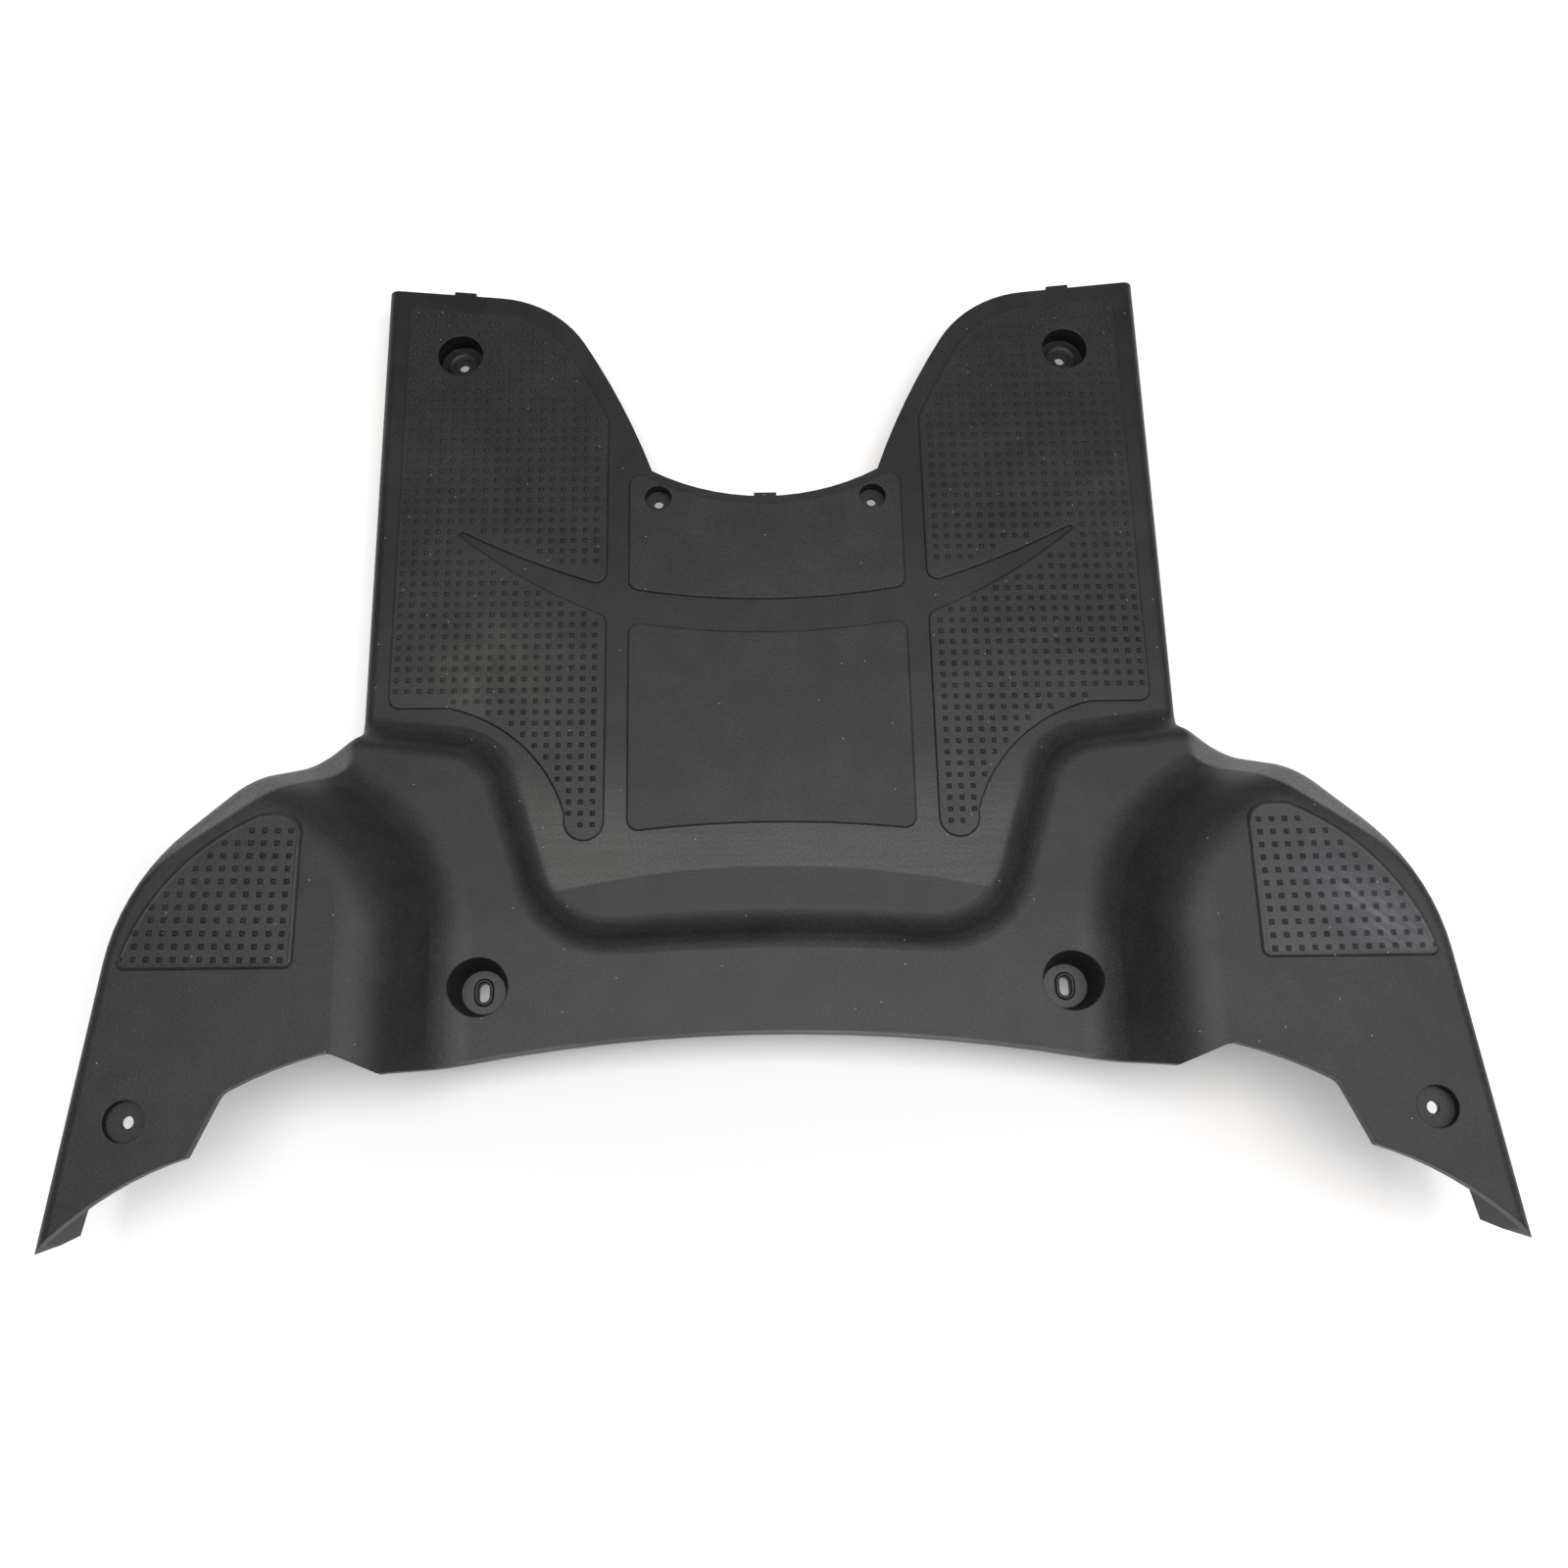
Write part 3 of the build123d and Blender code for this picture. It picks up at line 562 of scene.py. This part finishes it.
def pad_shoulder(name, top, drop, profile):
    """Profile carried along the pads' edges: edge point + plan normal * across, at height top - down.

    At each edge point the plan normals of its two walls add up to m, and 2 m / |m|^2 keeps the width.
    """
    first, second, normal = pad_edges(top, drop)
    spots, number = np.unique(np.round(np.concatenate((first, second)), 6), axis=0, return_inverse=True)
    number = number.reshape(-1)
    lean = np.zeros((len(spots), 2))
    np.add.at(lean, number, np.concatenate((normal, normal)))
    lean *= 2 / np.maximum((lean ** 2).sum(1, keepdims=True), 1.0)
    across, down = np.array(profile).T * MM
    count = len(across)
    grid = np.empty((len(spots), count, 3))
    grid[:, :, :2] = spots[:, None, :2] + lean[:, None, :] * across[None, :, None]
    grid[:, :, 2] = top - down[None, :]
    step = np.arange(count - 1)
    start = number[:len(first), None] * count + step
    end = number[len(first):, None] * count + step
    quads = np.stack([start, end, end + 1, start + 1], axis=-1)
    add_piece(name, grid.reshape(-1, 3), quads.reshape(-1, 4), True)


pad_shoulder("shoulder_floor_pads", FLOOR_PAD_TOP, FLOOR_PAD_DROP, FLOOR_SHOULDER)
pad_shoulder("shoulder_wing_pads", WING_PAD_TOP, WING_PAD_DROP, WING_SHOULDER)

# %% [markdown]
# ## Collars in the cups
# A low rounded lip stands round each fore-and-aft slot in the floor of the rear cups and goes on below it
# as a short tube. The floors of the front cups have two low rings round the hole. A torus would fit only
# the round hole, so a profile, in millimetres, is carried round the opening's outline: two half circles
# whose middles lie apart by its straight length, which is nothing for a hole.

# %% Collars
SLOT_PLACE = (0.1183, -0.1145, 0.0150)
SLOT_STRAIGHT = 0.0034
HOLE_PLACE = (0.1386, 0.1782, 0.0110)
OPENING_RADIUS = 0.0023
COLLAR_STEPS = 48
LIP_PROFILE = [(1.2, -2.0), (1.2, -4.4), (0.05, -4.4), (0.05, 0.6), (0.3, 0.95), (0.8, 1.1), (1.3, 0.9),
               (1.7, 0.45), (1.9, -0.2)]
RING_PROFILE = [(1.5, -0.2), (1.6, 0.4), (2.0, 0.6), (2.4, 0.4), (3.4, 0.35), (3.8, 0.9), (4.4, 1.1),
                (5.0, 0.9), (5.4, -0.2)]


def collar(name, place, straight, profile):
    """Collar at turn t and profile place s: the half circle's middle + (radius + out(s)) (cos t, sin t)."""
    turns = np.linspace(0, 2 * math.pi, COLLAR_STEPS, endpoint=False) + math.pi / COLLAR_STEPS
    out, up = np.array(profile).T * MM
    middle = np.sign(np.sin(turns)) * straight / 2
    reach = OPENING_RADIUS + out[None, :]
    count = len(out)
    grid = np.empty((COLLAR_STEPS, count, 3))
    grid[:, :, 0] = place[0] + reach * np.cos(turns)[:, None]
    grid[:, :, 1] = place[1] + middle[:, None] + reach * np.sin(turns)[:, None]
    grid[:, :, 2] = place[2] + up
    here = np.arange(COLLAR_STEPS)[:, None] * count + np.arange(count - 1)[None, :]
    after = (here + count) % (COLLAR_STEPS * count)
    faces = np.stack([here, here + 1, after + 1, after], axis=-1)
    add_piece(name, grid.reshape(-1, 3), faces.reshape(-1, 4), True)


def mirrored(place):
    """The same place on the panel's left half."""
    return (-place[0], *place[1:])


collar("slot_lip_right", SLOT_PLACE, SLOT_STRAIGHT, LIP_PROFILE)
collar("slot_lip_left", mirrored(SLOT_PLACE), SLOT_STRAIGHT, LIP_PROFILE)
collar("cup_rings_right", HOLE_PLACE, 0.0, RING_PROFILE)
collar("cup_rings_left", mirrored(HOLE_PLACE), 0.0, RING_PROFILE)

# %% [markdown]
# ## Studs
# Each foot rest carries rows of small pointed studs, square pyramids 5 mm apart with slightly cut hips
# that glint. An array modifier repeats a shape in full rows only, and these rows end at curved edges. So
# one stud of a few faces is worked out as an array and added to the whole list of places at once.

# %% Stud shape
STUD_PITCH = 0.005
STUD_WIDTH = 2.2            # from here on in millimetres
STUD_CUT = 0.16
STUD_SINK = 0.3
TIP_WIDTH = 0.36
TIP_CUT = 0.10
FLOOR_STUD_HEIGHT = 0.80
WING_STUD_HEIGHT = 0.95


def stud_ring(width, cut, rise):
    """Square with cut corners at one height: eight points, half the width or that less the cut away."""
    h, c = width / 2, width / 2 - cut
    plan = [(-c, -h), (c, -h), (h, -c), (h, c), (c, h), (-c, h), (-h, c), (-h, -c)]
    return np.column_stack((np.array(plan), np.full(8, rise)))


def stud_mesh(name, places, top, height):
    """Pyramids with cut corners: each place plus the points of three rings that narrow to the tip."""
    one = MM * np.concatenate((stud_ring(STUD_WIDTH, STUD_CUT, -STUD_SINK),
                               stud_ring(STUD_WIDTH, STUD_CUT, 0.0), stud_ring(TIP_WIDTH, TIP_CUT, height)))
    here = np.arange(8)
    after = (here + 1) % 8
    sides = np.column_stack((here, after, after + 8, here + 8))
    tip = np.array([(0, 1, 2, 3), (3, 4, 7, 0), (4, 5, 6, 7)])
    faces = np.concatenate((sides, sides + 8, tip + 16))
    centres = np.column_stack((places, np.full(len(places), top)))
    points = centres[:, None, :] + one[None, :, :]
    quads = np.arange(len(places))[:, None, None] * len(one) + faces[None]
    add_piece(name, points.reshape(-1, 3), quads.reshape(-1, 4), False)


# %% [markdown]
# The rows were counted in the photograph. Towards the tail they lose their outer studs, and beside the
# bare spear they lose their middle ones. A stud is set only where the pad lies under all of it, and none
# stands close to the front cup.

# %% Floor studs
FLOOR_FIRST_X = 0.0748
FLOOR_FIRST_Y = 0.0143
FLOOR_COLUMNS = 18
FULL_ROWS = 38
TAIL_COUNTS = (13, 10, 8, 7, 6, 5, 4, 4, 3, 3, 3, 2)
SPEAR_ROWS = {8: (0, 15), 9: (0, 13), 10: (0, 11), 11: (0, 9),
              12: (4, 8), 13: (6, 6), 14: (9, 5), 15: (11, 5)}   # studs left inside and outside the spear
CUP_CLEAR = 0.0140
STUD_ROOM = 0.5 * STUD_WIDTH * MM + 0.0002
ON_PAD = 0.0002
ABOVE_PANEL = 0.1


def panel_height(x, y):
    """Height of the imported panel's top at a place, or 0 beside the panel."""
    hit, spot, _, _ = panel.ray_cast((x, y, ABOVE_PANEL), (0, 0, -1))
    return spot.z if hit else 0.0


def on_pad(x, y):
    """True where the panel is at the pad's height at a place and at the four corners round it."""
    room = STUD_ROOM
    ring = [(0, 0), (room, room), (-room, room), (room, -room), (-room, -room)]
    return all(abs(panel_height(x + dx, y + dy) - FLOOR_PAD_TOP) < ON_PAD for dx, dy in ring)


def floor_places():
    """Places of the studs of the right foot rest, row by row, first place + pitch * (column, row)."""
    places = []
    for row in range(-len(TAIL_COUNTS), FULL_ROWS):
        inner, outer = SPEAR_ROWS.get(row, (FLOOR_COLUMNS, 0))
        if row < 0:
            inner = TAIL_COUNTS[-row - 1]
        for column in range(FLOOR_COLUMNS):
            if inner <= column < FLOOR_COLUMNS - outer:
                continue
            x = FLOOR_FIRST_X + column * STUD_PITCH
            y = FLOOR_FIRST_Y + row * STUD_PITCH
            clear = math.hypot(x - HOLE_PLACE[0], y - HOLE_PLACE[1]) > CUP_CLEAR
            if clear and on_pad(x, y):
                places.append((x, y))
    return np.array(places)


right = floor_places()
stud_mesh("studs_floor_right", right, FLOOR_PAD_TOP, FLOOR_STUD_HEIGHT)
stud_mesh("studs_floor_left", right * (-1, 1), FLOOR_PAD_TOP, FLOOR_STUD_HEIGHT)

# %% [markdown]
# The passenger's pads on the wings have shorter rows, turned by less than a degree. Each row is counted
# from the pad's inner edge outwards, and the first row is the rear one, so a short list of counts gives
# the round front of the pad.

# %% Wing studs
WING_FIRST = (0.1879, -0.1083)
WING_PITCH = 0.00506
WING_TURN = math.radians(0.8)
WING_COUNTS = (13, 12, 12, 11, 11, 10, 9, 8, 7, 6, 4)
steps = np.array([(column, row) for row, count in enumerate(WING_COUNTS) for column in range(count)])
along = np.array([(math.cos(WING_TURN), math.sin(WING_TURN)), (-math.sin(WING_TURN), math.cos(WING_TURN))])
wing = np.array(WING_FIRST) + WING_PITCH * steps @ along
stud_mesh("studs_wing_right", wing, WING_PAD_TOP, WING_STUD_HEIGHT)
stud_mesh("studs_wing_left", wing * (-1, 1), WING_PAD_TOP, WING_STUD_HEIGHT)

# %% [markdown]
# ## Table
# The panel lies on white paper, which has to look white and still keep the panel's soft shadow. A brighter
# lamp would bleach the panel, so the paper also glows, more with distance. Only the camera and glossy
# reflections see that glow, because it would otherwise light the panel from below.

# %% White table
PAPER_COLOUR = (0.90, 0.89, 0.89, 1.0)
NEAR_GLOW = (0.16, 0.45)
NEAR_REACH = (0.16, 0.42)
FAR_GLOW = (0.0, 0.5)
FAR_REACH = (0.5, 2.0)
FRONT_GLOW = (0.16, 0.30)
FRONT_REACH = (-0.12, -0.03)
TABLE_REACH = 4.0


def table_paper():
    """White paper; its glow rises with the distance from the panel's middle, and in front of the wings."""
    material = bpy.data.materials.new("table_paper")
    material.use_nodes = True
    n = Nodes(material.node_tree)
    paper = n.add("ShaderNodeBsdfDiffuse")
    n.feed(paper.inputs["Color"], PAPER_COLOUR)
    glow = n.add("ShaderNodeEmission")
    rays = n.add("ShaderNodeLightPath")
    seen = n.calc("MAXIMUM", rays.outputs["Is Camera Ray"], rays.outputs["Is Glossy Ray"])
    place = n.add("ShaderNodeTexCoord").outputs["Object"]
    distance = n.vector("LENGTH", place)
    outwards = n.calc("ADD", n.ramp(distance, *NEAR_REACH, *NEAR_GLOW),
                      n.ramp(distance, *FAR_REACH, *FAR_GLOW))
    ahead = n.ramp(n.vector("DOT_PRODUCT", place, (0.0, 1.0, 0.0)), *FRONT_REACH, *FRONT_GLOW)
    n.feed(glow.inputs["Strength"], n.times(seen, n.calc("MAXIMUM", outwards, ahead)))
    both = n.add("ShaderNodeAddShader")
    n.feed(both.inputs[0], paper.outputs[0])
    n.feed(both.inputs[1], glow.outputs[0])
    output = n.add("ShaderNodeOutputMaterial")
    n.feed(output.inputs["Surface"], both.outputs[0])
    return material


r = TABLE_REACH
table_mesh = bpy.data.meshes.new("table")
table_mesh.from_pydata([(-r, -r, 0), (r, -r, 0), (r, r, 0), (-r, r, 0)], [], [(0, 1, 2, 3)])
table_mesh.materials.append(table_paper())
table = bpy.data.objects.new("table", table_mesh)
scene.collection.objects.link(table)
print("table", 2 * r, "m square")

# %% [markdown]
# ## Light
# One large soft lamp hangs over the panel and gives its broad, dull shine. A smaller bluish one stands for
# a window on the right, and even white surroundings fill the shadows. The camera sees the surroundings
# as plain white.

# %% Lamps and surroundings
SKY_COLOUR = (1.0, 1.0, 1.0, 1.0)
SKY_LIGHT = 0.27
SKY_SEEN = 1.0


def soft_lamp(name, place, aim, size, power, tint):
    """Flat soft lamp at a place, turned so that it shines at a point."""
    data = bpy.data.lights.new(name, "AREA")
    data.shape = "RECTANGLE"
    data.size, data.size_y = size
    data.energy = power
    data.color = tint
    lamp = bpy.data.objects.new(name, data)
    scene.collection.objects.link(lamp)
    lamp.location = place
    lamp.rotation_euler = (Vector(place) - Vector(aim)).to_track_quat("Z", "Y").to_euler()
    print(name, "lamp of", power, "W")


soft_lamp("overhead", (0.08, -0.09, 1.5), (0.08, -0.09, 0.0), (1.4, 0.8), 16.5, (1.0, 0.99, 0.97))
soft_lamp("window", (1.2, -0.1, 1.45), (0.2, -0.05, 0.0), (0.7, 0.6), 3.8, (0.83, 0.91, 1.0))

world = bpy.data.worlds.new("surroundings")
scene.world = world
world.use_nodes = True
w = Nodes(world.node_tree)
sky = w.add("ShaderNodeBackground")
w.feed(sky.inputs["Color"], SKY_COLOUR)
rays = w.add("ShaderNodeLightPath")
w.feed(sky.inputs["Strength"], w.ramp(rays.outputs["Is Camera Ray"], 0.0, 1.0, SKY_LIGHT, SKY_SEEN))
world_output = w.add("ShaderNodeOutputWorld")
w.feed(world_output.inputs["Surface"], sky.outputs[0])

scene.view_settings.view_transform = "Standard"
